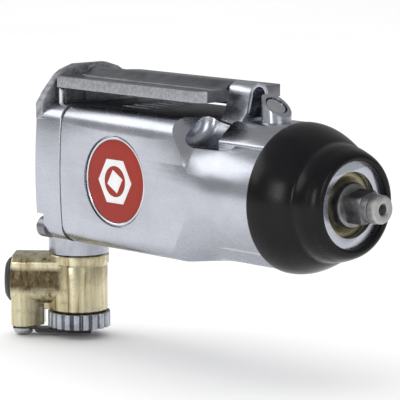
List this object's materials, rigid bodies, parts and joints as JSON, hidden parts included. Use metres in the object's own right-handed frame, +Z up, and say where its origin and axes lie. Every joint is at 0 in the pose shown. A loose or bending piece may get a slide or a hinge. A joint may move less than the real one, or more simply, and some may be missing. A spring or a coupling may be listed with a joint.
{
  "type": "butterfly air impact wrench",
  "caption": "Compact air impact wrench with a rocking butterfly trigger on top, a square drive in a rubber nose boot, and a swivelling brass air inlet with a regulator.",
  "frame": {"origin": "on the spindle's axis, at the shoulder where the square drive begins", "axes": "+X forward along the spindle, out of the square drive; +Z up, through the trigger; +Y to the user's left"},
  "size_m": [0.1829, 0.0526, 0.1037],
  "materials": {
    "polished_aluminium": "polished casting with soft broad highlights",
    "gasket_paper": "dark sealing paper",
    "screw_steel": "bright zinc-plated",
    "nose_bronze": "turned bronze, dull",
    "boot_rubber": "moulded satin black rubber",
    "seal_rubber": "matte black",
    "badge_metal": "bright rim",
    "badge_enamel": "red enamel with a white emblem",
    "motor_iron": "ground iron",
    "bearing_steel": "ground and polished",
    "rotor_steel": "machined",
    "vane_composite": "brown laminated composite",
    "hammer_steel": "heat-treated, oiled",
    "drive_steel": "machined alloy steel",
    "spring_steel": "oiled spring steel",
    "trigger_casting": "sandy cast metal",
    "spool_steel": "ground steel",
    "inlet_steel": "plated, lightly brushed",
    "swivel_brass": "cast and turned pale brass",
    "port_rubber": "moulded black rubber",
    "screen_brass": "punched sheet",
    "black_plate": "black oxide",
    "knob_metal": "fluted, plated"
  },
  "bodies": {
    "housing": {"motor_housing": "polished_aluminium", "rear_cap": "polished_aluminium", "cap_gasket": "gasket_paper", "cap_screws": "screw_steel", "nose_bushing": "nose_bronze", "rubber_boot": "boot_rubber", "grease_plug": "screw_steel", "grease_plug_washer": "seal_rubber", "badge_plate": "badge_metal", "badge_inlay": "badge_enamel", "rear_end_plate": "motor_iron", "front_end_plate": "motor_iron", "cylinder_liner": "motor_iron", "liner_dowel": "bearing_steel", "rear_bearing_outer_race": "bearing_steel", "rear_bearing_balls": "bearing_steel", "front_bearing_outer_race": "bearing_steel", "front_bearing_balls": "bearing_steel", "trigger_pivot_rod": "screw_steel", "left_valve_spring": "spring_steel", "right_valve_spring": "spring_steel", "inlet_bushing": "inlet_steel", "inlet_o_rings": "seal_rubber", "swivel_circlip": "spring_steel"},
    "rotor": {"rotor": "rotor_steel", "rotor_vanes": "vane_composite", "rear_bearing_inner_race": "bearing_steel", "front_bearing_inner_race": "bearing_steel", "hammer_cage": "hammer_steel", "dog_pin": "bearing_steel"},
    "dog": {"hammer_dog": "hammer_steel"},
    "anvil": {"anvil": "drive_steel", "socket_ring": "spring_steel"},
    "trigger": {"trigger_paddle": "trigger_casting"},
    "left_spool": {"left_valve_spool": "spool_steel", "left_spool_seal": "seal_rubber"},
    "right_spool": {"right_valve_spool": "spool_steel", "right_spool_seal": "seal_rubber"},
    "swivel": {"swivel_body": "swivel_brass", "port_ring": "port_rubber", "inlet_screen": "screen_brass", "stop_plate": "black_plate", "stop_plate_screw": "screw_steel"},
    "regulator": {"regulator_knob": "knob_metal", "regulator_spool": "spool_steel", "regulator_o_ring": "seal_rubber"}
  },
  "joints": [
    {"name": "trigger_rock", "type": "hinge", "parent": "housing", "child": "trigger", "pos_m": [-0.095, 0, 0.0337], "axis": [1, 0, 0], "range_deg": [-6, 6], "stiffness_Nm_per_rad": 0.6},
    {"name": "left_spool_slide", "type": "slide", "parent": "housing", "child": "left_spool", "axis": [0, 0, 1], "range_m": [-0.002, 0.002], "deforming": ["left_valve_spring"]},
    {"name": "right_spool_slide", "type": "slide", "parent": "housing", "child": "right_spool", "axis": [0, 0, 1], "range_m": [-0.002, 0.002], "deforming": ["right_valve_spring"]},
    {"name": "rotor_spin", "type": "hinge", "parent": "housing", "child": "rotor", "pos_m": [-0.095, 0, 0], "axis": [1, 0, 0], "continuous": true},
    {"name": "dog_rock", "type": "hinge", "parent": "rotor", "child": "dog", "pos_m": [-0.0541, 0, 0.0144], "axis": [1, 0, 0], "range_deg": [-4, 4]},
    {"name": "anvil_spin", "type": "hinge", "parent": "housing", "child": "anvil", "pos_m": [0, 0, 0], "axis": [1, 0, 0], "continuous": true},
    {"name": "inlet_swivel", "type": "hinge", "parent": "housing", "child": "swivel", "pos_m": [-0.1452, 0, -0.0439], "axis": [0, 0, 1], "continuous": true},
    {"name": "regulator_turn", "type": "hinge", "parent": "swivel", "child": "regulator", "pos_m": [-0.1452, 0, -0.0557], "axis": [0, 0, 1], "range_deg": [-135, 135]}
  ],
  "couplings": [
    {"joint": "left_spool_slide", "follows": "trigger_rock", "m_per_rad": 0.0182},
    {"joint": "right_spool_slide", "follows": "trigger_rock", "m_per_rad": -0.0182},
    {"joint": "anvil_spin", "follows": "rotor_spin", "ratio": 1}
  ]
}
